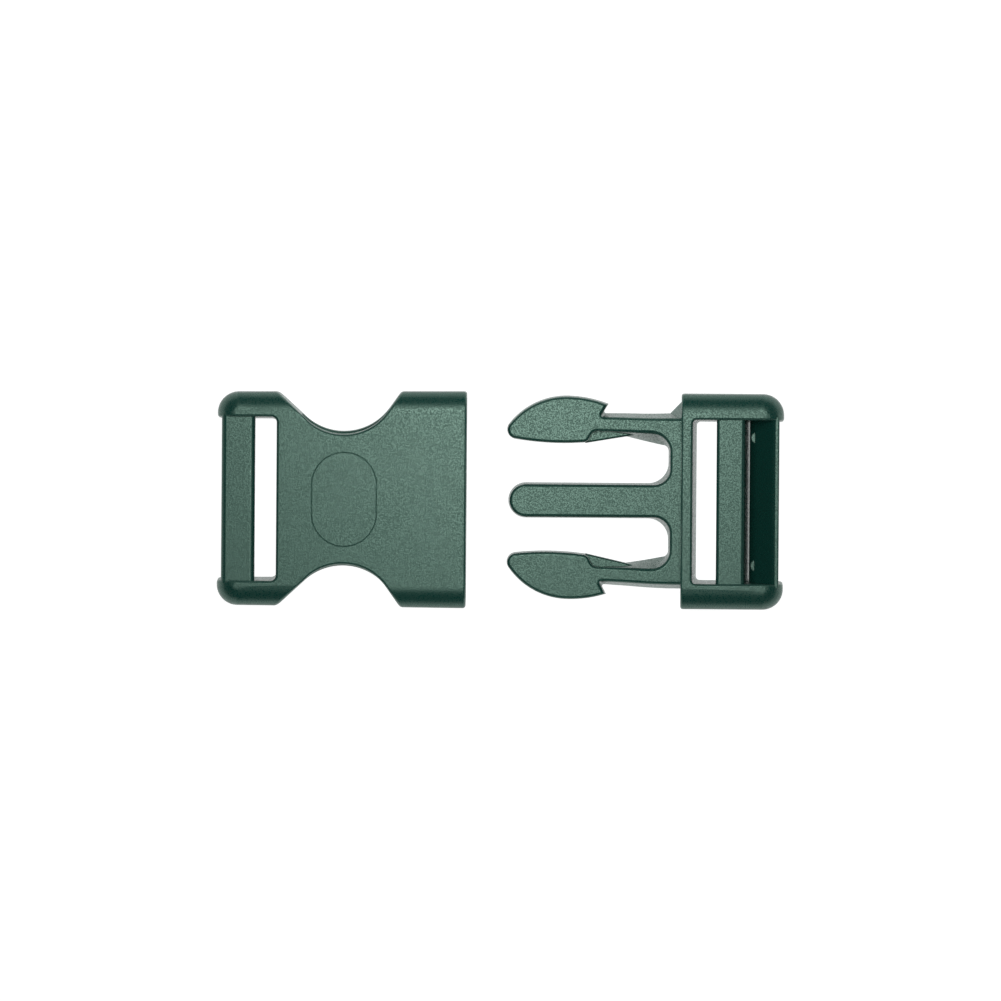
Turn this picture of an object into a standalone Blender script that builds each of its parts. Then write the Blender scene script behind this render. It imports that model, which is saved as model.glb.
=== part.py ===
"""Side release buckle for 25 mm webbing, unfastened: socket on the left (-X), plug on the right (+X).

Lengths are in metres. X runs from the socket's strap end to the plug's, Y across, Z up.
The origin is under the middle of the whole, on the surface that both halves lie on.
"""
import math

import bmesh
import bpy
from mathutils import Vector

MM = 0.001
OVERLAP = 0.5 * MM               # how far joined shapes run into each other before they are united
MARGIN = 1.0 * MM                # how far a cutter runs past what it cuts
TRIM = 5.0 * MM                  # spare length of a half, cut off again to leave a square end

# Both halves
HEIGHT = 11.0 * MM
SIDE_ROUND = 2.9 * MM            # radius along the long outer edges
RAIL_CORNER = 3.4 * MM           # plan radius of the rails' free ends
RAIL_INNER = 13.45 * MM          # half the clear width for the strap
BAR_DROP = 0.6 * MM              # strap bars lie this far under the rails' top

# Socket
SOCKET_LEFT = -46.4 * MM
SOCKET_MOUTH = -5.6 * MM
SOCKET_HALF_LEFT = 17.5 * MM
SOCKET_HALF_MOUTH = 17.8 * MM
END_BAR_LEFT = -45.7 * MM
END_BAR_RIGHT = -40.6 * MM
END_BAR_DEPTH = 5.0 * MM
END_BAR_ROUND = 0.8 * MM
SLOT_RIGHT = -36.7 * MM
SLOT_CORNER = 0.9 * MM
PLATE = 1.9 * MM                 # top and bottom plates of the tunnel
TUNNEL_END = -35.2 * MM
TUNNEL_END_HALF = 13.1 * MM
WINDOW_START = -33.0 * MM
WINDOW_HALF = 14.15 * MM
CATCH_X = -18.6 * MM
CATCH_HALF = 14.7 * MM           # tunnel's half-width at the catch, the inner end of the collar
MOUTH_HALF = 16.3 * MM
WAIST_X = -26.0 * MM
WAIST_HALF = 10.95 * MM
WAIST_RADIUS = 9.2 * MM
WAIST_LEFT_DEG = 43.0
WAIST_RIGHT_DEG = 55.0
FLANK = 9.0 * MM                 # straight flanks of the waist's cutter, past the outer side
CATCH_SHIFT = 0.15 * MM          # the collar's slanted end stands this much nearer the mouth

# Plug frame
COLLAR_LEFT = 29.6 * MM
PLUG_RIGHT = 46.4 * MM
PLUG_HALF = 17.65 * MM
WINDOW_LEFT = 31.2 * MM
WINDOW_DRAFT = 0.4 * MM          # the window's left wall leans out this much on its way down
MIDDLE_BAR_SECTION = [           # x, z from the left foot up and round clockwise
    (36.0 * MM, 4.6 * MM),
    (35.6 * MM, 9.9 * MM),
    (36.1 * MM, HEIGHT - BAR_DROP),
    (39.5 * MM, HEIGHT - BAR_DROP),
    (40.0 * MM, 9.9 * MM),
    (40.65 * MM, 7.6 * MM),
    (39.0 * MM, 4.6 * MM),
]
GRIP_BAR_SECTION = [             # x, z: nose, ramp top, end face, underside
    (40.8 * MM, 5.0 * MM),
    (45.0 * MM, HEIGHT - BAR_DROP),
    (45.65 * MM, HEIGHT - BAR_DROP),
    (45.65 * MM, 6.6 * MM),
    (42.2 * MM, 3.4 * MM),
    (41.0 * MM, 3.4 * MM),
]

# Prong, base plate and arms
TONGUE_LOW = 2.6 * MM
TONGUE_HIGH = 8.4 * MM
BASE_LEFT = 27.5 * MM
BASE_HALF_LOW = 14.45 * MM
BASE_HALF_TOP = 13.6 * MM
PRONG_TIP = 1.25 * MM
PRONG_HALF_LOW = 2.95 * MM
PRONG_HALF_TOP = 2.5 * MM
PRONG_FILLET = 3.3 * MM
HINGE_X = 26.9 * MM
HINGE_Y = 11.75 * MM
ROOT_RADIUS_LOW = 2.7 * MM
ROOT_RADIUS_TOP = 1.1 * MM
ROOT_SHIFT_TOP = 0.67 * MM       # the root's top stands this much further out than its foot
GAP = 0.3 * MM                   # running gap round an arm's root
ARM_LEAN_DEG = 1.7               # both arms stand turned a little towards +Y

HEAD_CREST_X = 11.0 * MM         # widest point of the thumb pad
HEAD_CREST = 16.72 * MM
HEAD_FRONT_RADIUS = 12.0 * MM
HEAD_REAR_RADIUS = 20.0 * MM
HEAD_INNER_X = 8.9 * MM
HEAD_INNER = 8.83 * MM
HEAD_INNER_RADIUS = 48.0 * MM
HEAD_FRONT_X = 1.9 * MM          # the outer curve ends here and the tip's arc begins
HEAD_HEEL_X = 15.5 * MM          # the pad's inner side runs back into the beam here
HEAD_TIP_X = 2.4 * MM
HEAD_TIP_Y = 10.95 * MM
HEAD_TIP_RADIUS = 1.6 * MM
HEAD_DRAFT = 0.15 * MM           # the pad's top is this much smaller all round than its foot
BARB_X = 17.3 * MM
BARB_FOOT = (16.2 * MM, 13.4 * MM)
BEAM_OUTER_TOP = 13.45 * MM
BEAM_INNER_TOP = 11.4 * MM
BEAM_OUTER_LOW = (14.1 * MM, 14.4 * MM)      # at the barb, at the root
BEAM_START_X = 14.7 * MM         # the beam begins inside the pad
WEB_HIGH = 6.4 * MM              # the web inside the beam is lower than it
WEB_START = (14.3 * MM, 9.2 * MM)
WEB_END = (23.7 * MM, 10.8 * MM)
GUSSET_START = (20.7 * MM, 10.1 * MM)

GREEN = (0.012, 0.075, 0.055, 1.0)
ROUGHNESS = 0.42

ROUND_STEPS = 7
CORNER_STEPS = 8


def arc(centre, radius, start_deg, end_deg, steps):
    """Points on an arc from start to end, both included."""
    points = []
    for i in range(steps + 1):
        angle = math.radians(start_deg + (end_deg - start_deg) * i / steps)
        points.append((centre[0] + radius * math.cos(angle), centre[1] + radius * math.sin(angle)))
    return points


def inset(outline, distance):
    """The counter-clockwise outline moved inwards by a distance, corners kept."""
    moved = []
    for i, point in enumerate(outline):
        here = Vector(point)
        before = (here - Vector(outline[i - 1])).normalized()
        after = (Vector(outline[(i + 1) % len(outline)]) - here).normalized()
        normal_a = Vector((-before.y, before.x))
        normal_b = Vector((-after.y, after.x))
        push = (normal_a + normal_b) * (distance / (1.0 + normal_a.dot(normal_b)))
        moved.append((here + push)[:])
    return moved


def mesh_object(name, bm):
    bmesh.ops.remove_doubles(bm, verts=bm.verts, dist=0.002 * MM)
    bmesh.ops.recalc_face_normals(bm, faces=bm.faces)
    mesh = bpy.data.meshes.new(name)
    bm.to_mesh(mesh)
    bm.free()
    obj = bpy.data.objects.new(name, mesh)
    bpy.context.scene.collection.objects.link(obj)
    return obj


def stack(name, rings):
    """A closed solid through rings of equal length: each ring is a list of 3-D points."""
    bm = bmesh.new()
    loops = [[bm.verts.new(point) for point in ring] for ring in rings]
    count = len(rings[0])
    for low, high in zip(loops, loops[1:]):
        for i in range(count):
            j = (i + 1) % count
            bm.faces.new((low[i], low[j], high[j], high[i]))
    bm.faces.new(reversed(loops[0]))
    bm.faces.new(loops[-1])
    return mesh_object(name, bm)


def level(outline, z):
    return [(x, y, z) for x, y in outline]


def prism(name, outline, z_low, z_high):
    return stack(name, [level(outline, z_low), level(outline, z_high)])


def through_cut(name, outline):
    """A cutter right through both faces of a half."""
    return prism(name, outline, -MARGIN, HEIGHT + MARGIN)


def rectangle(left, right, half):
    return [(left, -half), (right, -half), (right, half), (left, half)]


def rounded_slab(name, outline, z_low, z_high, radius, steps):
    """A slab whose top and bottom rims are rounded all the way round its outline."""
    rings = []
    for i in range(steps + 1):
        angle = math.radians(90.0 * i / steps)
        rings.append(level(inset(outline, radius * (1 - math.sin(angle))),
                           z_low + radius * (1 - math.cos(angle))))
    for i in range(steps + 1):
        angle = math.radians(90.0 * i / steps)
        rings.append(level(inset(outline, radius * (1 - math.cos(angle))),
                           z_high - radius * (1 - math.sin(angle))))
    return stack(name, rings)


def bar_across(name, section, half_length):
    """A bar along Y with a section in X and Z."""
    return stack(name, [[(x, y, z) for x, z in section] for y in (-half_length, half_length)])


def mirrored(outline):
    """The outline on the other side of the X axis, still counter-clockwise."""
    return [(x, -y) for x, y in reversed(outline)]


def combine(target, tools, operation):
    """Cut, join or intersect the target with each tool, and remove the tools."""
    for tool in tools:
        modifier = target.modifiers.new(tool.name, "BOOLEAN")
        modifier.operation = operation
        modifier.object = tool
    bpy.context.view_layer.update()
    evaluated = target.evaluated_get(bpy.context.evaluated_depsgraph_get())
    mesh = bpy.data.meshes.new_from_object(evaluated)
    target.modifiers.clear()
    target.data = mesh
    for tool in tools:
        bpy.data.objects.remove(tool)
    return target


def rail_outline(closed_x, half_closed, free_x, half_free):
    """Plan of a half: square at closed_x and with rounded corners at free_x, counter-clockwise."""
    side = 1 if free_x > closed_x else -1
    centre_x = free_x - side * RAIL_CORNER
    upper = arc((centre_x, half_free - RAIL_CORNER), RAIL_CORNER, 90, 90 - side * 90, CORNER_STEPS)
    right_side = [(closed_x, half_closed)] + upper
    outline = right_side + [(x, -y) for x, y in reversed(right_side)]
    return outline[::-1] if side > 0 else outline


def waist_outline():
    """Plan of the bite out of the socket's +Y side: an arc between two straight flanks."""
    centre = (WAIST_X, WAIST_HALF + WAIST_RADIUS)
    curve = arc(centre, WAIST_RADIUS, -90 - WAIST_LEFT_DEG, -90 + WAIST_RIGHT_DEG, 2 * CORNER_STEPS)
    left = math.radians(WAIST_LEFT_DEG)
    right = math.radians(WAIST_RIGHT_DEG)
    left_end = (curve[0][0] - FLANK * math.cos(left), curve[0][1] + FLANK * math.sin(left))
    curve[-1] = (curve[-1][0] + CATCH_SHIFT, curve[-1][1])
    right_end = (curve[-1][0] + FLANK * math.cos(right), curve[-1][1] + FLANK * math.sin(right))
    return [left_end] + curve + [right_end]


def tunnel_outline():
    """Plan of the hollow that takes the plug, from its end wall out through the mouth."""
    taper = (MOUTH_HALF - CATCH_HALF) / (SOCKET_MOUTH - CATCH_X)
    upper = [
        (SOCKET_MOUTH + MARGIN, MOUTH_HALF + taper * MARGIN),
        (CATCH_X, CATCH_HALF),
        (WINDOW_START, WINDOW_HALF),
        (WINDOW_START - (WINDOW_HALF - TUNNEL_END_HALF), TUNNEL_END_HALF),
        (TUNNEL_END, TUNNEL_END_HALF),
    ]
    return upper + [(x, -y) for x, y in reversed(upper)]


def slot_outline(left, right, half, corner):
    """A strap slot open towards -X, with rounded corners on its +X side, counter-clockwise."""
    lower = arc((right - corner, -half + corner), corner, -90, 0, CORNER_STEPS // 2)
    upper = arc((right - corner, half - corner), corner, 0, 90, CORNER_STEPS // 2)
    return [(left, -half)] + lower + upper + [(left, half)]


def rounded_bar_section(left, right, low, high, radius):
    steps = CORNER_STEPS // 2
    return (arc((right - radius, low + radius), radius, -90, 0, steps)
            + arc((right - radius, high - radius), radius, 0, 90, steps)
            + arc((left + radius, high - radius), radius, 90, 180, steps)
            + arc((left + radius, low + radius), radius, 180, 270, steps))


def make_socket():
    past_mouth = SOCKET_MOUTH + TRIM
    outline = rail_outline(past_mouth, SOCKET_HALF_MOUTH, SOCKET_LEFT, SOCKET_HALF_LEFT)
    socket = rounded_slab("socket_body", outline, 0.0, HEIGHT, SIDE_ROUND, ROUND_STEPS)
    strap = slot_outline(SOCKET_LEFT - MARGIN, SLOT_RIGHT, RAIL_INNER, SLOT_CORNER)
    combine(socket, [
        through_cut("mouth_trim", rectangle(SOCKET_MOUTH, past_mouth + MARGIN, SOCKET_HALF_MOUTH + MARGIN)),
        through_cut("strap_cut", strap),
        prism("tunnel_cut", tunnel_outline(), PLATE, HEIGHT - PLATE),
        through_cut("waist_cut_left", waist_outline()),
        through_cut("waist_cut_right", mirrored(waist_outline())),
    ], "DIFFERENCE")
    bar_top = HEIGHT - BAR_DROP
    bar_foot = bar_top - END_BAR_DEPTH
    section = rounded_bar_section(END_BAR_LEFT, END_BAR_RIGHT, bar_foot, bar_top, END_BAR_ROUND)
    combine(socket, [bar_across("end_bar", section, RAIL_INNER + OVERLAP)], "UNION")
    return socket


def tongue_outline(prong_half, base_half):
    """Plan of the prong and the base plate that carries it, counter-clockwise."""
    tip = arc((PRONG_TIP + PRONG_HALF_LOW, 0.0), prong_half, 180, 270, CORNER_STEPS)
    fillet_centre = (BASE_LEFT - PRONG_FILLET, -prong_half - PRONG_FILLET)
    fillet = arc(fillet_centre, PRONG_FILLET, 90, 0, CORNER_STEPS)
    lower = tip + fillet + [(BASE_LEFT, -base_half), (COLLAR_LEFT + MM, -base_half)]
    return lower + [(x, -y) for x, y in reversed(lower[1:])]


def arm_root(name, side, growth, overrun):
    """The leaning cone at an arm's root, or a larger copy that overruns it to cut its recess."""
    rise = TONGUE_HIGH - TONGUE_LOW
    rings = []
    for height in (-overrun, rise + overrun):
        share = height / rise
        radius = ROOT_RADIUS_LOW + (ROOT_RADIUS_TOP - ROOT_RADIUS_LOW) * share + growth
        centre = (HINGE_X, side * (HINGE_Y + ROOT_SHIFT_TOP * share))
        rings.append(level(arc(centre, radius, 0, 360, 4 * CORNER_STEPS)[:-1], TONGUE_LOW + height))
    return stack(name, rings)


def make_plug_frame():
    before_collar = COLLAR_LEFT - TRIM
    outline = rail_outline(before_collar, PLUG_HALF, PLUG_RIGHT, PLUG_HALF)
    frame = rounded_slab("plug_frame", outline, 0.0, HEIGHT, SIDE_ROUND, ROUND_STEPS)
    window = slot_outline(-PLUG_RIGHT - MARGIN, -WINDOW_LEFT, RAIL_INNER, SLOT_CORNER)
    window_top = [(-x, -y) for x, y in window]
    window_low = [(x + WINDOW_DRAFT if x < PLUG_RIGHT else x, y) for x, y in window_top]
    combine(frame, [
        through_cut("collar_trim", rectangle(before_collar - MARGIN, COLLAR_LEFT, PLUG_HALF + MARGIN)),
        stack("strap_cut", [level(window_low, -MARGIN), level(window_top, HEIGHT + MARGIN)]),
    ], "DIFFERENCE")
    tongue = stack("tongue", [
        level(tongue_outline(PRONG_HALF_LOW, BASE_HALF_LOW), TONGUE_LOW),
        level(tongue_outline(PRONG_HALF_TOP, BASE_HALF_TOP), TONGUE_HIGH),
    ])
    combine(frame, [
        bar_across("middle_bar", MIDDLE_BAR_SECTION, RAIL_INNER + OVERLAP),
        bar_across("grip_bar", GRIP_BAR_SECTION, RAIL_INNER + OVERLAP),
        tongue,
    ], "UNION")
    combine(frame, [arm_root("recess", side, GAP, MARGIN) for side in (1, -1)], "DIFFERENCE")
    return frame


def on_arc(x, crest_x, crest, radius):
    """Height at x of an arc whose highest point is the crest; a negative radius turns it over."""
    drop = abs(radius) - math.sqrt(radius * radius - (x - crest_x) ** 2)
    return crest - drop if radius > 0 else crest + drop


def head_outline():
    """Plan of the thumb pad: barb, outer curve, tip and inner curve, counter-clockwise."""
    outer = []
    for i in range(CORNER_STEPS + 1):
        x = BARB_X + (HEAD_CREST_X - BARB_X) * i / CORNER_STEPS
        outer.append((x, on_arc(x, HEAD_CREST_X, HEAD_CREST, HEAD_REAR_RADIUS)))
    for i in range(1, CORNER_STEPS + 1):
        x = HEAD_CREST_X + (HEAD_FRONT_X - HEAD_CREST_X) * i / CORNER_STEPS
        outer.append((x, on_arc(x, HEAD_CREST_X, HEAD_CREST, HEAD_FRONT_RADIUS)))
    tip = arc((HEAD_TIP_X, HEAD_TIP_Y), HEAD_TIP_RADIUS, 135, 255, CORNER_STEPS)
    inner = []
    for i in range(CORNER_STEPS + 1):
        x = HEAD_TIP_X + (WEB_START[0] - HEAD_TIP_X) * i / CORNER_STEPS
        inner.append((x, on_arc(x, HEAD_INNER_X, HEAD_INNER, -HEAD_INNER_RADIUS)))
    rear = [(HEAD_HEEL_X, BEAM_INNER_TOP), (BARB_FOOT[0], BEAM_INNER_TOP + OVERLAP), BARB_FOOT]
    return outer + tip + inner + rear


def beam_outline(inner_line, outer_near_barb, outer_at_root):
    """Plan of the beam at one level: a straight outer side and a given inner side."""
    return [(HINGE_X, outer_at_root), (BARB_X, outer_near_barb),
            (BEAM_START_X, outer_near_barb)] + inner_line


def make_arm(name, side):
    """One arm, built about its hinge line and mirrored for the -Y side."""
    inner_top = [
        (BEAM_START_X, BEAM_INNER_TOP),
        (GUSSET_START[0], BEAM_INNER_TOP),
        (HINGE_X, BEAM_INNER_TOP),
    ]
    inner_low = [
        (BEAM_START_X, BEAM_INNER_TOP),
        GUSSET_START,
        (HINGE_X, HINGE_Y - ROOT_RADIUS_LOW),
    ]
    top = beam_outline(inner_top, BEAM_OUTER_TOP, BEAM_OUTER_TOP)
    low = beam_outline(inner_low, *BEAM_OUTER_LOW)
    beam = stack("beam", [level(low, TONGUE_LOW), level(top, TONGUE_HIGH)])
    inside_beam = BEAM_INNER_TOP + OVERLAP
    web_plan = [WEB_START, GUSSET_START, WEB_END, (WEB_END[0], inside_beam), (WEB_START[0], inside_beam)]
    web = prism("web", web_plan, TONGUE_LOW, WEB_HIGH)
    head_plan = head_outline()
    arm = stack(name, [level(head_plan, TONGUE_LOW), level(inset(head_plan, HEAD_DRAFT), TONGUE_HIGH)])
    combine(arm, [beam, web, arm_root("root", 1, 0.0, 0.0)], "UNION")
    for vertex in arm.data.vertices:
        vertex.co.x -= HINGE_X
        vertex.co.y = side * (vertex.co.y - HINGE_Y)
    if side < 0:
        arm.data.flip_normals()
    arm.location = (HINGE_X, side * HINGE_Y, 0.0)
    arm.rotation_euler.z = math.radians(-ARM_LEAN_DEG)
    return arm


def finish(obj):
    """Green moulded plastic, smooth across its round edges."""
    material = bpy.data.materials.new(obj.name + "_plastic")
    material.use_nodes = True
    shader = material.node_tree.nodes["Principled BSDF"]
    shader.inputs["Base Color"].default_value = GREEN
    shader.inputs["Roughness"].default_value = ROUGHNESS
    shader.inputs["Metallic"].default_value = 0.0
    obj.data.materials.clear()
    obj.data.materials.append(material)
    obj.data.shade_smooth()
    obj.data.set_sharp_from_angle(angle=math.radians(35))


def main():
    for obj in list(bpy.data.objects):
        bpy.data.objects.remove(obj)
    pieces = [
        make_socket(),
        make_plug_frame(),
        make_arm("side_arm_left", 1),
        make_arm("side_arm_right", -1),
    ]
    for piece in pieces:
        finish(piece)


main()
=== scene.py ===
"""The looks of a dark green side release buckle, unfastened, on a white studio table.

Both halves are made again as fine mouldings with softened edges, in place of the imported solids.
A moulding is modelled in millimetres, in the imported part's frame, and scaled to metres when it is done.
"""
import math

import bmesh
import bpy
from mathutils import Matrix, Vector


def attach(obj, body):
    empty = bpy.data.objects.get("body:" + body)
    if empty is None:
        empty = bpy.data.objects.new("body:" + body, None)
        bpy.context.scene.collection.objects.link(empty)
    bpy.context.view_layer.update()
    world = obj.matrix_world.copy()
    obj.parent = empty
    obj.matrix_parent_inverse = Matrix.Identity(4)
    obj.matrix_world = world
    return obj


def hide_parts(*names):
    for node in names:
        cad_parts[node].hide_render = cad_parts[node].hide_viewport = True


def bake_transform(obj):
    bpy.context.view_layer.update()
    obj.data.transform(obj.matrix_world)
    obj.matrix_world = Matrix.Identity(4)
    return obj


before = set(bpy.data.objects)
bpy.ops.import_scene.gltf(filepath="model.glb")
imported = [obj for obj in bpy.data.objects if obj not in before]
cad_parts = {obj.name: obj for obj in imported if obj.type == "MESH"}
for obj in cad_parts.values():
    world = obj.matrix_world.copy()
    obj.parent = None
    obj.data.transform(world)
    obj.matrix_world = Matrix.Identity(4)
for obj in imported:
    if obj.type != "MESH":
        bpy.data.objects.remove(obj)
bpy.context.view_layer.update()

# Sizes are in millimetres, angles in degrees where a name ends in DEG
MM = 0.001                       # a millimetre, in the scene's metres
OVERLAP = 0.5                    # how far joined shapes run into each other
MARGIN = 1.0                     # how far a cutter runs past what it cuts
TRIM = 5.0                       # spare length of a half, cut off again to leave a square end
WELD = 0.002                     # points closer than this are one point
HAIR = 0.02                      # and edges shorter than this are dropped before a bevel
FLAT_DEG = 0.5                   # faces that differ by less are joined before a bevel
SHARP_DEG = 33.0                 # edges above this are bevelled, and stay sharp in the shading
EDGE_SEGMENTS = 3
FLAT_WEIGHT = 100                # how strongly the shading follows the large flat faces

# Both halves
HEIGHT = 11.0
SIDE_ROUND = 2.9                 # depth of the rounding along the long outer edges
SIDE_ROUND_ACROSS = 3.55         # its width, and its width round the rails' free ends
CORNER_ROUND_ACROSS = 3.1
CORNER_EASE = 3.0                # length over which one width runs into the other
RAIL_CORNER = 3.4                # plan radius of the rails' free ends
RAIL_INNER = 13.45               # half the clear width between the rails
BAR_DROP = 0.6                   # the bars lie this far below the rails' tops
EDGE_ROUND = 0.38                # radius of the other edges of the plug's frame
TONGUE_ROUND = 0.5               # radius of the tongue's upper and lower rims

# Socket
SOCKET_LEFT = -46.4
SOCKET_MOUTH = -5.6
SOCKET_HALF_LEFT = 17.5          # half the width at the strap end and at the mouth
SOCKET_HALF_MOUTH = 17.8
END_BAR_LEFT = -45.7
END_BAR_RIGHT = -40.25
END_BAR_DEPTH = 5.0
END_BAR_ROUND = 0.8
SLOT_RIGHT = -36.7
SLOT_CORNER = 0.9
PLATE = 1.9                      # thickness of the plates above and below the tunnel
TUNNEL_END = -35.2
TUNNEL_END_HALF = 13.1
WINDOW_START = -32.2             # inside the tunnel, clear of the waist's flank
WINDOW_HALF = 14.15
CATCH_X = -18.6                  # the step that the barbs catch behind
CATCH_HALF = 14.7
MOUTH_HALF = 16.3
WAIST_X = -25.76                 # the waist's arc, and the slopes that it runs into at either end
WAIST_HALF = 10.63
WAIST_RADIUS = 8.76
WAIST_LEFT_DEG = 43.0
WAIST_RIGHT_DEG = 55.0
WAIST_GROWTH = 0.62              # the arc is this much larger at the underside
WAIST_DRAFT = 0.15               # and its walls stand out this much further there
SOCKET_EDGE_ROUND = 0.42         # radius of the socket's other edges
SLOT_DRAFT = 0.46                # the strap slots narrow this much towards the underside

# Fine oval line round the bare field on the socket's top plate
FIELD_X = -25.6
FIELD_HALF_WIDTH = 5.3
FIELD_HALF_LENGTH = 7.7
FIELD_LINE = 0.22                # width of the engraved line at the surface and at its bottom
FIELD_LINE_BOTTOM = 0.04
FIELD_DEPTH = 0.09

# Plug frame
COLLAR_LEFT = 29.6
PLUG_RIGHT = 46.4
PLUG_HALF = 17.65
WINDOW_LEFT = 31.45
WINDOW_CORNER = 0.6
WINDOW_DRAFT = 0.72              # the window's collar wall stands out this much at the underside
MIDDLE_BAR_SECTION = [           # x, z and rounding of each corner, from the left foot
    (35.65, 2.4, 0.5),
    (40.92, 2.4, 0.25),
    (39.95, HEIGHT - BAR_DROP, 0.6),
    (35.35, HEIGHT - BAR_DROP, 0.65),
]
GRIP_BAR_SECTION = [             # x, z and rounding of each corner, from the nose
    (40.84, 4.6, 0.12),
    (41.1, 3.4, 0.3),
    (42.3, 3.4, 0.5),
    (45.65, 6.6, 0.5),
    (45.65, HEIGHT - BAR_DROP, 0.25),
    (45.0, HEIGHT - BAR_DROP, 0.25),
]
PIN_MARK_X = 42.05               # marks of the mould's pins on the grip bar's ramp
PIN_MARK_Y = 10.5
PIN_MARK_RADIUS = 0.95
PIN_MARK_LOW = 4.0
PIN_MARK_HIGH = 5.75

# Prong, base plate and beams share one outline, given at two levels
TONGUE_LOW = 2.6
TONGUE_HIGH = 8.4
BASE_LEFT = 27.7
PRONG_TIP = 1.25
BARB_X = 17.55
TOP_PLAN = {
    "base_left": 27.8,
    "prong_half": 2.66,
    "prong_fillet": 2.6,
    "outer_at_barb": 13.45,
    "outer_at_root": 13.6,
    "inner_at_pad": 11.1,
    "inner_at_root": 11.2,
    "root_fillet": 3.2,
}
LOW_PLAN = {
    "base_left": 27.5,
    "prong_half": 2.92,
    "prong_fillet": 3.4,
    "outer_at_barb": 14.1,
    "outer_at_root": 14.45,
    "inner_at_pad": 11.1,
    "inner_at_root": 9.0,
    "root_fillet": 0.8,
}
WEB_HIGH = 6.4                   # thin webs that stiffen the beams' roots
WEB_START = (13.9, 9.05)
WEB_END = (24.2, 11.09)
WEB_INSIDE = 12.0                # the web's other side lies inside the beam
WEB_RIM = 0.35
GATE_LEVELS = (2.9, 8.0)         # the gate's stub, at its foot and at its top
GATE_PLANS = (
    ((27.3, 13.9), (30.1, 13.9), (30.1, 16.8)),
    ((29.5, 13.7), (30.1, 13.7), (30.1, 14.3)),
)

# Thumb pads
HEAD_CREST_X = 11.0
HEAD_CREST = 16.72
HEAD_FRONT_RADIUS = 12.0
HEAD_REAR_RADIUS = 20.0
HEAD_INNER_X = 8.9
HEAD_INNER = 8.83
HEAD_INNER_RADIUS = 48.0
HEAD_INNER_END_X = 14.3
HEAD_TIP_RADIUS = 1.6
HEAD_HEEL = (15.8, 11.95)        # these two points lie inside the beam
BARB_FOOT = (15.83, 12.6)
HEAD_DRAFT = 0.15                # the pads are this much smaller at the top
BARB_FOOT_ROUND = 0.3            # plan radii of the barb's foot and the pad's heel
HEEL_ROUND = 1.1
SPARE_POINTS = 3                 # left out beside the barb and the heel, where the rims would cross

# The arms, turned a little about a point at their roots and cut off as pieces of their own
HINGE_X = 26.9
HINGE_Y = 11.75
ARM_LEAN_DEG = 1.7               # both arms stand turned a little towards +Y
LEAN_FULL_X = 20.0               # the turn grows from the base plate to here
ARM_SPLIT_X = 25.6               # an arm's piece ends and the plug's begins here
ARM_SPLIT_Y = 7.5
HEAD_TIP_X_FREE = -2.0           # left of both pads
ARM_STATIONS = 16                # evenly spaced steps along a beam

# Looks
GRAIN = 0.00021                  # size of the mould's grain, in metres
GRAIN_TURN = (0.6, 0.5, 0.3)     # turns the grain's lattice away from the flat faces
GRAIN_HEIGHT = 0.00001           # in metres
GRAIN_LOW = 0.38                 # the noise's values that count as a pit and as a peak
GRAIN_HIGH = 0.62
PLASTIC_DARK = (0.0035, 0.04, 0.031)
PLASTIC_PALE = (0.0055, 0.054, 0.042)
SPECULAR = 0.9
SPECULAR_TINT = (0.67, 1.0, 0.83)
ROUGHNESS_PIT = 0.5              # the grain's pits are duller than its peaks
ROUGHNESS_PEAK = 0.27
FLOOR_RADIUS = 6.0               # in metres
FLOOR_STEPS = 64
FLOOR_GLOW = 0.99
FLOOR_PALE = 0.3
FLOOR_ROUGHNESS = 0.9
HORIZON = (0.95, 0.95, 0.95)     # the world's colour round the horizon
HORIZON_TOP = 0.1                # up to here, and from here the room's, as sines of the elevation
ROOM_START = 0.26
ROOM = (0.012, 0.012, 0.012)
SOFTBOXES = (                    # name, place in metres, radius and radiance
    ("softbox", (0.006, 0.036, 0.2), 0.1, 1.3),
    ("softbox_middle", (0.006, 0.036, 0.19), 0.06, 2.2),
    ("softbox_heart", (0.006, 0.036, 0.18), 0.03, 3.8),
)
CAMERA_AIM = (0.0, -0.00011, 0.005)
CAMERA_DISTANCE = 3.0            # in metres, as is the reach
CAMERA_REACH = 100.0
CAMERA_LEAN_X_DEG = 0.4
CAMERA_LEAN_Y_DEG = 1.1
CAMERA_ROLL_DEG = 0.42
CAMERA_LENS = 657.7

# Steps in the arcs
ROUND_STEPS = 14
CORNER_STEPS = 16
RIM_STEPS = 4
SMALL_STEPS = 5


def arc(centre, radius, start_deg, end_deg, steps):
    """Points on an arc from start to end, both included."""
    points = []
    for i in range(steps + 1):
        angle = math.radians(start_deg + (end_deg - start_deg) * i / steps)
        points.append((centre[0] + radius * math.cos(angle), centre[1] + radius * math.sin(angle)))
    return points


def inset(outline, distance):
    """The counter-clockwise outline moved inwards by one distance, corners kept."""
    return inset_each(outline, [distance] * len(outline))


def inset_each(outline, distances):
    """The counter-clockwise outline moved inwards by each point's own distance."""
    moved = []
    for i, point in enumerate(outline):
        here = Vector(point)
        before = (here - Vector(outline[i - 1])).normalized()
        after = (Vector(outline[(i + 1) % len(outline)]) - here).normalized()
        normal_a = Vector((-before.y, before.x))
        normal_b = Vector((-after.y, after.x))
        push = (normal_a + normal_b) * (distances[i] / (1.0 + normal_a.dot(normal_b)))
        moved.append((here + push)[:])
    return moved


def mesh_object(name, bm):
    bmesh.ops.remove_doubles(bm, verts=bm.verts, dist=WELD)
    bmesh.ops.recalc_face_normals(bm, faces=bm.faces)
    mesh = bpy.data.meshes.new(name)
    bm.to_mesh(mesh)
    bm.free()
    obj = bpy.data.objects.new(name, mesh)
    bpy.context.scene.collection.objects.link(obj)
    return obj


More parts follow.
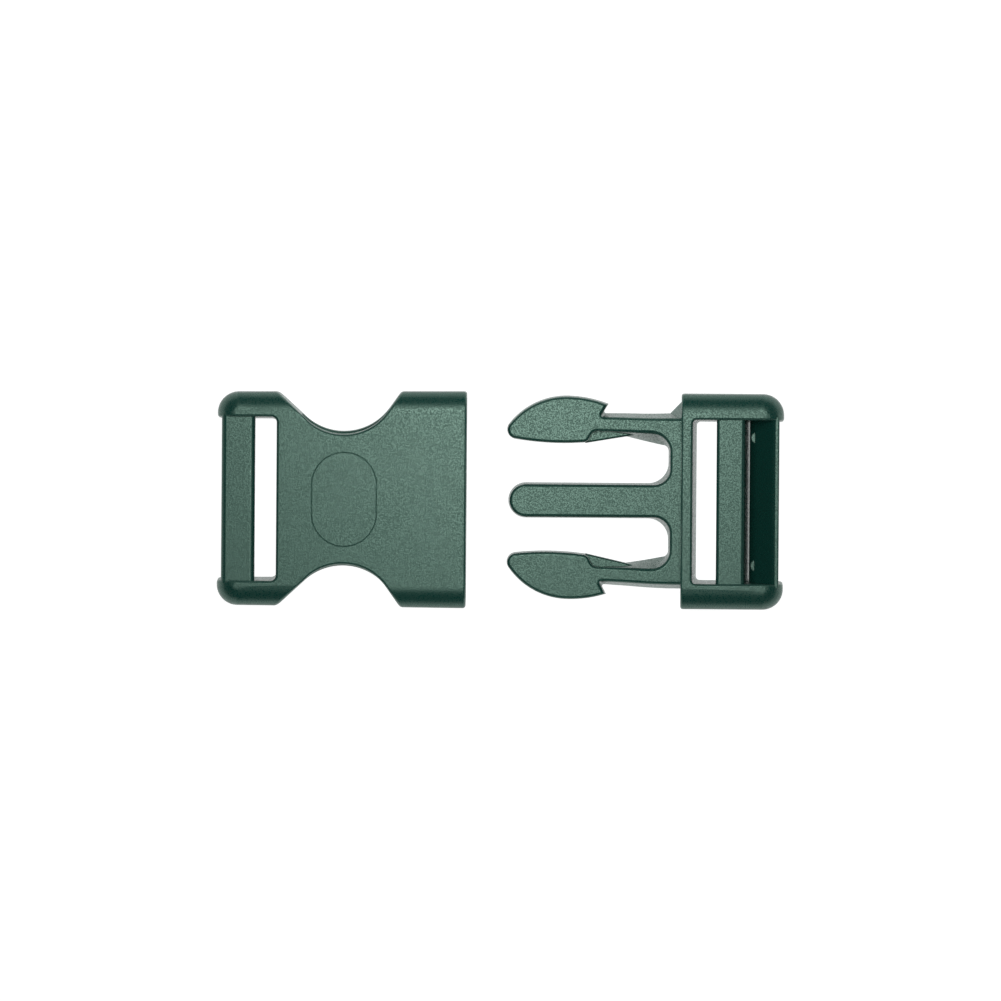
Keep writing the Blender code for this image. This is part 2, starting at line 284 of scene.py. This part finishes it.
def stack(name, rings):
    """A closed solid through rings of equal length: each ring is a list of 3-D points."""
    bm = bmesh.new()
    loops = [[bm.verts.new(point) for point in ring] for ring in rings]
    count = len(rings[0])
    for low, high in zip(loops, loops[1:]):
        for i in range(count):
            j = (i + 1) % count
            bm.faces.new((low[i], low[j], high[j], high[i]))
    bm.faces.new(reversed(loops[0]))
    bm.faces.new(loops[-1])
    return mesh_object(name, bm)


def level(outline, z):
    return [(x, y, z) for x, y in outline]


def prism(name, outline, z_low, z_high):
    return stack(name, [level(outline, z_low), level(outline, z_high)])


def through_cut(name, outline):
    """A cutter right through both faces of a half."""
    return prism(name, outline, -MARGIN, HEIGHT + MARGIN)


def tapered_cut(name, low_outline, high_outline):
    """A cutter through a half with one outline at the underside and another at the top face."""
    return stack(name, [level(low_outline, -MARGIN), level(low_outline, 0.0),
                        level(high_outline, HEIGHT), level(high_outline, HEIGHT + MARGIN)])


def rectangle(left, right, half):
    return [(left, -half), (right, -half), (right, half), (left, half)]


def rim_levels(low, high, depth, steps):
    """Heights up a slab with rounded rims, each with its share of the rounding's width."""
    levels = []
    for i in range(steps + 1):
        angle = math.radians(90.0 * i / steps)
        levels.append((low + depth * (1 - math.cos(angle)), 1 - math.sin(angle)))
    for i in range(steps + 1):
        angle = math.radians(90.0 * i / steps)
        levels.append((high - depth * (1 - math.sin(angle)), 1 - math.cos(angle)))
    return levels


def rounded_slab(name, outline, across, steps):
    """A slab as high as a half, its rims rounded as wide as each point's own width."""
    return stack(name, [level(inset_each(outline, [width * share for width in across]), z)
                        for z, share in rim_levels(0.0, HEIGHT, SIDE_ROUND, steps)])


def bar_across(name, section, half_length):
    """A bar along Y with a section in X and Z."""
    return stack(name, [[(x, y, z) for x, z in section] for y in (-half_length, half_length)])


def mirrored(outline):
    """The outline on the other side of the X axis, running the same way round."""
    return [(x, -y) for x, y in reversed(outline)]


def combine(target, tools, operation):
    """Cut, join or intersect the target with each tool, and remove the tools."""
    for tool in tools:
        modifier = target.modifiers.new(tool.name, "BOOLEAN")
        modifier.operation = operation
        modifier.object = tool
    apply_modifiers(target)
    for tool in tools:
        bpy.data.objects.remove(tool)
    return target


def apply_modifiers(obj):
    bpy.context.view_layer.update()
    evaluated = obj.evaluated_get(bpy.context.evaluated_depsgraph_get())
    mesh = bpy.data.meshes.new_from_object(evaluated)
    obj.modifiers.clear()
    obj.data = mesh


def rail_outline(closed_x, half_closed, free_x, half_free):
    """Plan of a half, square at closed_x and with rounded corners at free_x, counter-clockwise,
    and the width of its rounding at each point."""
    side = 1 if free_x > closed_x else -1
    centre_x = free_x - side * RAIL_CORNER
    corner = arc((centre_x, half_free - RAIL_CORNER), RAIL_CORNER, 90, 90 - side * 90, CORNER_STEPS)
    share = CORNER_EASE / abs(centre_x - closed_x)
    ease = (centre_x - side * CORNER_EASE, half_free + (half_closed - half_free) * share)
    half = [(closed_x, half_closed), ease] + corner
    outline = half + mirrored(half)
    across = [SIDE_ROUND_ACROSS] * 2 + [CORNER_ROUND_ACROSS] * len(corner)
    across += across[::-1]
    return (outline[::-1], across[::-1]) if side > 0 else (outline, across)


def waist_cutter_outline(growth):
    """Plan of the cutter for the waist on the +Y side, its arc grown; counter-clockwise."""
    left = math.radians(90.0 - WAIST_LEFT_DEG)
    right = math.radians(90.0 - WAIST_RIGHT_DEG)
    across = math.cos(left) * math.sin(right) + math.sin(left) * math.cos(right)
    radius = WAIST_RADIUS + growth
    centre = (WAIST_X + growth * (math.sin(right) - math.sin(left)) / across,
              WAIST_HALF + WAIST_RADIUS + growth * (math.cos(left) + math.cos(right)) / across)
    curve = arc(centre, radius, -90 - WAIST_LEFT_DEG, -90 + WAIST_RIGHT_DEG, 4 * CORNER_STEPS)
    far = SOCKET_HALF_MOUTH + TRIM
    far_left = (curve[0][0] - (far - curve[0][1]) * math.tan(left), far)
    far_right = (curve[-1][0] + (far - curve[-1][1]) * math.tan(right), far)
    return [far_left] + curve + [far_right]


def tunnel_outline():
    """Plan of the hollow that takes the plug, from its end wall out through the mouth."""
    taper = (MOUTH_HALF - CATCH_HALF) / (SOCKET_MOUTH - CATCH_X)
    upper = [
        (SOCKET_MOUTH + MARGIN, MOUTH_HALF + taper * MARGIN),
        (CATCH_X, CATCH_HALF),
        (WINDOW_START, WINDOW_HALF),
        (WINDOW_START - (WINDOW_HALF - TUNNEL_END_HALF), TUNNEL_END_HALF),
        (TUNNEL_END, TUNNEL_END_HALF),
    ]
    return upper + mirrored(upper)


def slot_outline(left, right, half, corner):
    """A strap slot open towards -X, with rounded corners on its +X side, counter-clockwise."""
    lower = arc((right - corner, -half + corner), corner, -90, 0, CORNER_STEPS // 2)
    upper = arc((right - corner, half - corner), corner, 0, 90, CORNER_STEPS // 2)
    return [(left, -half)] + lower + upper + [(left, half)]


def rounded_bar_section(left, right, low, high, radius):
    steps = CORNER_STEPS // 2
    return (arc((right - radius, low + radius), radius, -90, 0, steps)
            + arc((right - radius, high - radius), radius, 0, 90, steps)
            + arc((left + radius, high - radius), radius, 90, 180, steps)
            + arc((left + radius, low + radius), radius, 180, 270, steps))


def make_socket():
    outline, across = rail_outline(SOCKET_MOUTH + TRIM, SOCKET_HALF_MOUTH,
                                   SOCKET_LEFT, SOCKET_HALF_LEFT)
    socket = rounded_slab("socket_moulding", outline, across, ROUND_STEPS)
    low, high = inset(waist_cutter_outline(WAIST_GROWTH), WAIST_DRAFT), waist_cutter_outline(0.0)
    mouth = rectangle(SOCKET_MOUTH, SOCKET_MOUTH + TRIM + MARGIN, SOCKET_HALF_MOUTH + MARGIN)
    strap_high = slot_outline(SOCKET_LEFT - MARGIN, SLOT_RIGHT, RAIL_INNER, SLOT_CORNER)
    strap_low = slot_outline(SOCKET_LEFT - MARGIN, SLOT_RIGHT, RAIL_INNER - SLOT_DRAFT, SLOT_CORNER)
    combine(socket, [
        tapered_cut("waist_left", low, high),
        tapered_cut("waist_right", mirrored(low), mirrored(high)),
        through_cut("mouth_trim", mouth),
        tapered_cut("strap_cut", strap_low, strap_high),
        prism("tunnel_cut", tunnel_outline(), PLATE, HEIGHT - PLATE),
    ], "DIFFERENCE")
    soften(socket, SOCKET_EDGE_ROUND)
    bar_top = HEIGHT - BAR_DROP
    bar_foot = bar_top - END_BAR_DEPTH
    section = rounded_bar_section(END_BAR_LEFT, END_BAR_RIGHT, bar_foot, bar_top, END_BAR_ROUND)
    combine(socket, [bar_across("end_bar", section, RAIL_INNER + OVERLAP)], "UNION")
    engrave_field(socket)
    return socket


def stadium(growth):
    """A long round outline about the bare field, counter-clockwise."""
    radius = FIELD_HALF_WIDTH + growth
    reach = FIELD_HALF_LENGTH - FIELD_HALF_WIDTH
    return (arc((FIELD_X, reach), radius, 0, 180, 2 * CORNER_STEPS)
            + arc((FIELD_X, -reach), radius, 180, 360, 2 * CORNER_STEPS))


def field_block(name, side, beyond):
    """A block with the field line's outer wall, at side 1, or its inner wall, at side -1.

    It runs on by beyond, above and below.
    """
    bottom = stadium(side * FIELD_LINE_BOTTOM / 2)
    top = stadium(side * FIELD_LINE / 2)
    levels = [level(bottom, HEIGHT - FIELD_DEPTH), level(top, HEIGHT),
              level(top, HEIGHT + MARGIN + beyond)]
    if beyond:
        levels.insert(0, level(bottom, HEIGHT - FIELD_DEPTH - beyond))
    return stack(name, levels)


def engrave_field(socket):
    """The fine oval line round the bare field, a V-shaped groove in the top plate."""
    line, core = field_block("field_line", 1, 0.0), field_block("field_core", -1, OVERLAP)
    combine(socket, [combine(line, [core], "DIFFERENCE")], "DIFFERENCE")


def smooth(share):
    return share * share * (3 - 2 * share)


def leaned(point, side):
    """A point of an arm on the +Y side, turned a little about the hinge and put on its own side."""
    x, y = point
    share = min(1.0, max(0.0, (BASE_LEFT - x) / (BASE_LEFT - LEAN_FULL_X)))
    turn = math.radians(ARM_LEAN_DEG) * smooth(share) * side
    along = x - HINGE_X
    across = y - HINGE_Y
    return (HINGE_X + along * math.cos(turn) + across * math.sin(turn),
            side * (HINGE_Y - along * math.sin(turn) + across * math.cos(turn)))


def straight(start, end, steps):
    """Points from start towards end, the start included and the end left out."""
    return [(start[0] + (end[0] - start[0]) * i / steps, start[1] + (end[1] - start[1]) * i / steps)
            for i in range(steps)]


def crossing(a, b, c, d):
    """Where the line through a and b meets the line through c and d."""
    ab = (b[0] - a[0], b[1] - a[1])
    cd = (d[0] - c[0], d[1] - c[1])
    along = ((c[0] - a[0]) * cd[1] - (c[1] - a[1]) * cd[0]) / (ab[0] * cd[1] - ab[1] * cd[0])
    return (a[0] + ab[0] * along, a[1] + ab[1] * along)


def fillet(before, corner, after, radius, steps):
    """The corner between two lines as an arc that touches both."""
    here = Vector(corner)
    back = (Vector(before) - here).normalized()
    ahead = (Vector(after) - here).normalized()
    half = math.acos(max(-1.0, min(1.0, back.dot(ahead)))) / 2
    centre = here + (back + ahead).normalized() * (radius / math.sin(half))
    start = here + back * (radius / math.tan(half)) - centre
    turn = math.pi - 2 * half
    if back.x * ahead.y - back.y * ahead.x > 0:
        turn = -turn
    points = []
    for i in range(steps + 1):
        angle = turn * i / steps
        points.append((centre.x + start.x * math.cos(angle) - start.y * math.sin(angle),
                       centre.y + start.x * math.sin(angle) + start.y * math.cos(angle)))
    return points


def rounded_section(corners):
    """A section whose corners, each with its own radius, are turned into arcs."""
    points = []
    for i, (x, z, radius) in enumerate(corners):
        before, after = corners[i - 1][:2], corners[(i + 1) % len(corners)][:2]
        points += fillet(before, (x, z), after, radius, SMALL_STEPS)
    return points


def plan_at(share):
    """Sizes of the tongue's plan between its underside, at share 0, and its top, at share 1."""
    return {name: LOW_PLAN[name] + (TOP_PLAN[name] - LOW_PLAN[name]) * share for name in LOW_PLAN}


def arm_outline(plan, share):
    """Plan of an arm on the +Y side, from its root's inner fillet round the pad to its outer root."""
    radius = plan["root_fillet"]
    inner_root = (plan["base_left"] - radius, plan["inner_at_root"])
    inner_pad = (HEAD_HEEL[0], plan["inner_at_pad"])
    outer_barb = (BARB_X, plan["outer_at_barb"])
    outer_root = (plan["base_left"], plan["outer_at_root"])
    head = inset(head_outline(), HEAD_DRAFT * share)
    curve, heel_inside, foot_inside = head[:-2], head[-2], head[-1]
    barb, inner_end = curve[0], curve[-1]
    heel = crossing(inner_end, heel_inside, inner_root, inner_pad)
    foot = crossing(barb, foot_inside, outer_barb, outer_root)
    outline = arc((inner_root[0], inner_root[1] - radius), radius, 0, 90, CORNER_STEPS)[:-1]
    outline += straight(inner_root, (heel[0] + HEEL_ROUND, heel[1]), ARM_STATIONS)
    outline += fillet(inner_root, heel, inner_end, HEEL_ROUND, CORNER_STEPS)
    kept = curve[SPARE_POINTS:-SPARE_POINTS]
    outline += fillet(heel, inner_end, kept[-1], HEEL_ROUND, CORNER_STEPS)
    outline += kept[::-1] + [barb]
    outline += fillet(barb, foot, outer_root, BARB_FOOT_ROUND, SMALL_STEPS)
    start = (foot[0] + 2 * BARB_FOOT_ROUND, outer_barb[1])
    return outline + straight(start, outer_root, ARM_STATIONS)


def half_tongue(share, side):
    """One side of the tongue's outline, from the prong's tip round the arm to the collar."""
    plan = plan_at(share)
    half, left, radius = plan["prong_half"], plan["base_left"], plan["prong_fillet"]
    prong = arc((PRONG_TIP + LOW_PLAN["prong_half"], 0.0), half, 180, 90, CORNER_STEPS)
    prong += arc((left - radius, half + radius), radius, -90, 0, CORNER_STEPS)
    base = [(left, plan["outer_at_root"]), (COLLAR_LEFT + OVERLAP, plan["outer_at_root"])]
    return ([(x, side * y) for x, y in prong]
            + [leaned(point, side) for point in arm_outline(plan, share)]
            + [(x, side * y) for x, y in base])


def tongue_outline(share):
    """Plan of the prong, base plate and arms, counter-clockwise."""
    return half_tongue(share, -1) + half_tongue(share, 1)[:0:-1]


def make_tongue():
    """The prong, base plate and arms, with rounded rims above and below."""
    rings = []
    for z, share in rim_levels(TONGUE_LOW, TONGUE_HIGH, TONGUE_ROUND, RIM_STEPS):
        outline = tongue_outline((z - TONGUE_LOW) / (TONGUE_HIGH - TONGUE_LOW))
        rings.append(level(inset(outline, TONGUE_ROUND * share), z))
    return stack("tongue", rings)


def on_arc(x, crest_x, crest, radius):
    """Height at x of an arc whose highest point is the crest."""
    drop = radius - math.sqrt(radius * radius - (x - crest_x) ** 2)
    return crest - drop


def direction_deg(start, end):
    return math.degrees(math.atan2(end[1] - start[1], end[0] - start[0])) % 360.0


def head_tip():
    """Centre of the tip's circle, which touches the pad's outer and inner curves from within."""
    outer = Vector((HEAD_CREST_X, HEAD_CREST - HEAD_FRONT_RADIUS))
    inner = Vector((HEAD_INNER_X, HEAD_INNER + HEAD_INNER_RADIUS))
    reach_outer = HEAD_FRONT_RADIUS - HEAD_TIP_RADIUS
    reach_inner = HEAD_INNER_RADIUS - HEAD_TIP_RADIUS
    apart = (inner - outer).length
    along = (reach_outer ** 2 - reach_inner ** 2 + apart ** 2) / (2 * apart)
    unit = (inner - outer) / apart
    centre = outer + unit * along + Vector((-unit.y, unit.x)) * math.sqrt(reach_outer ** 2 - along ** 2)
    return centre, direction_deg(outer, centre), direction_deg(inner, centre)


def head_outline():
    """Plan of the thumb pad: barb, outer curve, tip and inner curve, counter-clockwise."""
    tip, tip_start, tip_end = head_tip()
    rear = []
    for i in range(CORNER_STEPS):
        x = BARB_X + (HEAD_CREST_X - BARB_X) * i / CORNER_STEPS
        rear.append((x, on_arc(x, HEAD_CREST_X, HEAD_CREST, HEAD_REAR_RADIUS)))
    front = arc((HEAD_CREST_X, HEAD_CREST - HEAD_FRONT_RADIUS), HEAD_FRONT_RADIUS, 90, tip_start,
                2 * CORNER_STEPS)[:-1]
    point = arc(tip, HEAD_TIP_RADIUS, tip_start, tip_end, CORNER_STEPS)[:-1]
    inner_end = 270.0 + math.degrees(math.asin((HEAD_INNER_END_X - HEAD_INNER_X) / HEAD_INNER_RADIUS))
    inner = arc((HEAD_INNER_X, HEAD_INNER + HEAD_INNER_RADIUS), HEAD_INNER_RADIUS, tip_end, inner_end,
                CORNER_STEPS)
    return rear + front + point + inner + [HEAD_HEEL, BARB_FOOT]


def sided(outline, side):
    """An arm's outline leaned and put on its side, counter-clockwise."""
    moved = [leaned(point, side) for point in outline]
    return moved if side > 0 else moved[::-1]


def make_web(side):
    """The web inside one beam, from its thumb pad to its root."""
    plan = straight(WEB_START, WEB_END, ARM_STATIONS) + [WEB_END, (WEB_END[0], WEB_INSIDE)]
    plan.append((HEAD_INNER_END_X, WEB_INSIDE))
    outline = sided(plan, side)
    rings = [level(outline, TONGUE_LOW + TONGUE_ROUND)]
    for i in range(RIM_STEPS + 1):
        angle = math.radians(90.0 * i / RIM_STEPS)
        inward = WEB_RIM * (1 - math.cos(angle))
        rings.append(level(inset(outline, inward), WEB_HIGH - WEB_RIM * (1 - math.sin(angle))))
    return stack("web", rings)


def make_gate_stub():
    """The sloping scrap of plastic left in the corner between the collar and the +Y beam's root."""
    return stack("gate_stub", [level(plan, z) for plan, z in zip(GATE_PLANS, GATE_LEVELS)])


def make_plug():
    """The whole plug in one piece, arms and all, as it comes out of its mould."""
    before_collar = COLLAR_LEFT - TRIM
    outline, across = rail_outline(before_collar, PLUG_HALF, PLUG_RIGHT, PLUG_HALF)
    plug = rounded_slab("plug_moulding", outline, across, ROUND_STEPS)
    windows = []
    for draft_x, draft_y in ((WINDOW_DRAFT, SLOT_DRAFT), (0.0, 0.0)):
        half = RAIL_INNER - draft_y
        window = slot_outline(-PLUG_RIGHT - MARGIN, -WINDOW_LEFT - draft_x, half, WINDOW_CORNER)
        windows.append([(-x, -y) for x, y in window])
    combine(plug, [
        through_cut("collar_trim", rectangle(before_collar - MARGIN, COLLAR_LEFT, PLUG_HALF + MARGIN)),
        tapered_cut("strap_cut", windows[0], windows[1]),
    ], "DIFFERENCE")
    soften(plug, EDGE_ROUND)
    parts = [
        bar_across("middle_bar", rounded_section(MIDDLE_BAR_SECTION), RAIL_INNER + OVERLAP),
        bar_across("grip_bar", rounded_section(GRIP_BAR_SECTION), RAIL_INNER + OVERLAP),
        make_tongue(),
        make_gate_stub(),
    ]
    for side in (1, -1):
        parts.append(make_web(side))
        mark = arc((PIN_MARK_X, side * PIN_MARK_Y), PIN_MARK_RADIUS, 0, 360, 2 * CORNER_STEPS)[:-1]
        parts.append(prism("pin_mark", mark, PIN_MARK_LOW, PIN_MARK_HIGH))
    return combine(plug, parts, "UNION")


def split_arm(plug, side):
    """Take one arm off the plug, cut square across its root."""
    far = PLUG_HALF + MARGIN
    outline = [(HEAD_TIP_X_FREE, ARM_SPLIT_Y), (ARM_SPLIT_X, ARM_SPLIT_Y), (ARM_SPLIT_X, far),
               (HEAD_TIP_X_FREE, far)]
    name = "arm_left_moulding" if side > 0 else "arm_right_moulding"
    arm = bpy.data.objects.new(name, plug.data.copy())
    bpy.context.scene.collection.objects.link(arm)
    for target, operation in ((arm, "INTERSECT"), (plug, "DIFFERENCE")):
        combine(target, [through_cut("arm_box", outline if side > 0 else mirrored(outline))], operation)
    return arm


def tidy_mesh(obj):
    """Join flat neighbouring faces and drop points closer than a hair, so that edges bevel evenly."""
    bm = bmesh.new()
    bm.from_mesh(obj.data)
    bmesh.ops.dissolve_limit(bm, angle_limit=math.radians(FLAT_DEG), verts=bm.verts, edges=bm.edges)
    bmesh.ops.dissolve_degenerate(bm, dist=HAIR, edges=bm.edges)
    bm.to_mesh(obj.data)
    bm.free()


def soften(obj, radius):
    """Round every edge of the mould."""
    tidy_mesh(obj)
    obj.data.shade_smooth()
    bevel = obj.modifiers.new("edges", "BEVEL")
    bevel.width = radius
    bevel.segments = EDGE_SEGMENTS
    bevel.limit_method = "ANGLE"
    bevel.angle_limit = math.radians(SHARP_DEG)
    bevel.use_clamp_overlap = False
    apply_modifiers(obj)


def finish_mesh(obj):
    """Shade flat faces flat, keep the roundings within the mould's height, and change to metres."""
    obj.data.shade_smooth()
    obj.data.set_sharp_from_angle(angle=math.radians(SHARP_DEG))
    weighted = obj.modifiers.new("flat faces", "WEIGHTED_NORMAL")
    weighted.weight = FLAT_WEIGHT
    weighted.keep_sharp = True
    apply_modifiers(obj)
    for vertex in obj.data.vertices:
        vertex.co.z = min(max(vertex.co.z, 0.0), HEIGHT)
        vertex.co *= MM


def make_plastic():
    """Dark green acetal with the fine satin grain of a spark-eroded mould."""
    material = bpy.data.materials.new("green_plastic")
    material.use_nodes = True
    nodes = material.node_tree.nodes
    links = material.node_tree.links
    shader = nodes["Principled BSDF"]
    shader.inputs["Specular IOR Level"].default_value = SPECULAR
    shader.inputs["Specular Tint"].default_value = (*SPECULAR_TINT, 1)
    place = nodes.new("ShaderNodeTexCoord")
    stretch = nodes.new("ShaderNodeMapping")
    stretch.inputs["Rotation"].default_value = GRAIN_TURN
    stretch.inputs["Scale"].default_value = (1.0 / GRAIN, 1.0 / GRAIN, 1.0 / GRAIN)
    grain = nodes.new("ShaderNodeTexNoise")
    grain.inputs["Scale"].default_value = 1.0
    grain.inputs["Detail"].default_value = 0.0
    bump = nodes.new("ShaderNodeBump")
    bump.inputs["Strength"].default_value = 1.0
    bump.inputs["Distance"].default_value = GRAIN_HEIGHT
    colour = nodes.new("ShaderNodeValToRGB")
    colour.color_ramp.elements[0].position = GRAIN_LOW
    colour.color_ramp.elements[0].color = (*PLASTIC_DARK, 1)
    colour.color_ramp.elements[1].position = GRAIN_HIGH
    colour.color_ramp.elements[1].color = (*PLASTIC_PALE, 1)
    gloss = nodes.new("ShaderNodeMapRange")
    gloss.inputs["From Min"].default_value = GRAIN_LOW
    gloss.inputs["From Max"].default_value = GRAIN_HIGH
    gloss.inputs["To Min"].default_value = ROUGHNESS_PIT
    gloss.inputs["To Max"].default_value = ROUGHNESS_PEAK
    links.new(place.outputs["Object"], stretch.inputs["Vector"])
    links.new(stretch.outputs["Vector"], grain.inputs["Vector"])
    links.new(grain.outputs["Fac"], bump.inputs["Height"])
    links.new(bump.outputs["Normal"], shader.inputs["Normal"])
    links.new(grain.outputs["Fac"], colour.inputs["Fac"])
    links.new(colour.outputs["Color"], shader.inputs["Base Color"])
    links.new(grain.outputs["Fac"], gloss.inputs["Value"])
    links.new(gloss.outputs["Result"], shader.inputs["Roughness"])
    return material


def make_floor():
    """A white table that glows a little, as it does under studio light from all round."""
    bm = bmesh.new()
    bmesh.ops.create_circle(bm, cap_ends=True, segments=FLOOR_STEPS, radius=FLOOR_RADIUS)
    mesh = bpy.data.meshes.new("floor")
    bm.to_mesh(mesh)
    bm.free()
    floor = bpy.data.objects.new("floor", mesh)
    bpy.context.scene.collection.objects.link(floor)
    material = bpy.data.materials.new("table_white")
    material.use_nodes = True
    shader = material.node_tree.nodes["Principled BSDF"]
    shader.inputs["Base Color"].default_value = (FLOOR_PALE, FLOOR_PALE, FLOOR_PALE, 1)
    shader.inputs["Roughness"].default_value = FLOOR_ROUGHNESS
    shader.inputs["Specular IOR Level"].default_value = 0.0
    shader.inputs["Emission Color"].default_value = (1, 1, 1, 1)
    shader.inputs["Emission Strength"].default_value = FLOOR_GLOW
    floor.data.materials.append(material)


def make_world():
    """White round the horizon, where the table runs out of sight, and a dim room above it."""
    world = bpy.data.worlds.new("studio")
    world.use_nodes = True
    nodes = world.node_tree.nodes
    links = world.node_tree.links
    place = nodes.new("ShaderNodeTexCoord")
    split = nodes.new("ShaderNodeSeparateXYZ")
    ramp = nodes.new("ShaderNodeValToRGB")
    ramp.color_ramp.elements[0].position = HORIZON_TOP
    ramp.color_ramp.elements[0].color = (*HORIZON, 1)
    ramp.color_ramp.elements[1].position = ROOM_START
    ramp.color_ramp.elements[1].color = (*ROOM, 1)
    links.new(place.outputs["Generated"], split.inputs["Vector"])
    links.new(split.outputs["Z"], ramp.inputs["Fac"])
    links.new(ramp.outputs["Color"], nodes["Background"].inputs["Color"])
    bpy.context.scene.world = world


def make_lights():
    """A round softbox above the buckle, brighter in its middle."""
    for name, place, radius, radiance in SOFTBOXES:
        data = bpy.data.lights.new(name, "AREA")
        data.shape = "DISK"
        data.size = 2 * radius
        data.energy = radiance * math.pi * math.pi * radius * radius
        light = bpy.data.objects.new(name, data)
        light.location = place
        bpy.context.scene.collection.objects.link(light)


def make_camera():
    """A long lens almost straight above, leaning a little towards +X and +Y."""
    camera = bpy.data.objects.new("camera", bpy.data.cameras.new("camera"))
    bpy.context.scene.collection.objects.link(camera)
    lean_x, lean_y = math.radians(CAMERA_LEAN_X_DEG), math.radians(CAMERA_LEAN_Y_DEG)
    lean = Vector((math.tan(lean_x), math.tan(lean_y), 1.0))
    aim = Vector(CAMERA_AIM)
    back = lean.normalized()
    right = Vector((0, 1, 0)).cross(back).normalized()
    up = back.cross(right)
    turn = Matrix.Rotation(math.radians(CAMERA_ROLL_DEG), 3, "Z")
    camera.location = aim + lean * CAMERA_DISTANCE
    camera.rotation_euler = (Matrix((right, up, back)).transposed() @ turn).to_euler()
    camera.data.lens = CAMERA_LENS
    camera.data.clip_end = CAMERA_REACH
    bpy.context.scene.camera = camera


def main():
    socket = make_socket()
    plug = make_plug()
    arms = [split_arm(plug, side) for side in (1, -1)]
    plastic = make_plastic()
    pieces = ((socket, "socket", "socket_body"), (plug, "plug", "plug_frame"),
              (arms[0], "arm_left", "side_arm_left"), (arms[1], "arm_right", "side_arm_right"))
    for obj, body, node in pieces:
        finish_mesh(obj)
        obj.data.materials.clear()
        obj.data.materials.append(plastic)
        if body in ("socket", "plug"):
            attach(obj, body)
        else:
            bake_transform(obj)
        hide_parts(node)


main()

make_floor()
make_world()
make_lights()
make_camera()
bpy.context.scene.view_settings.view_transform = "Standard"
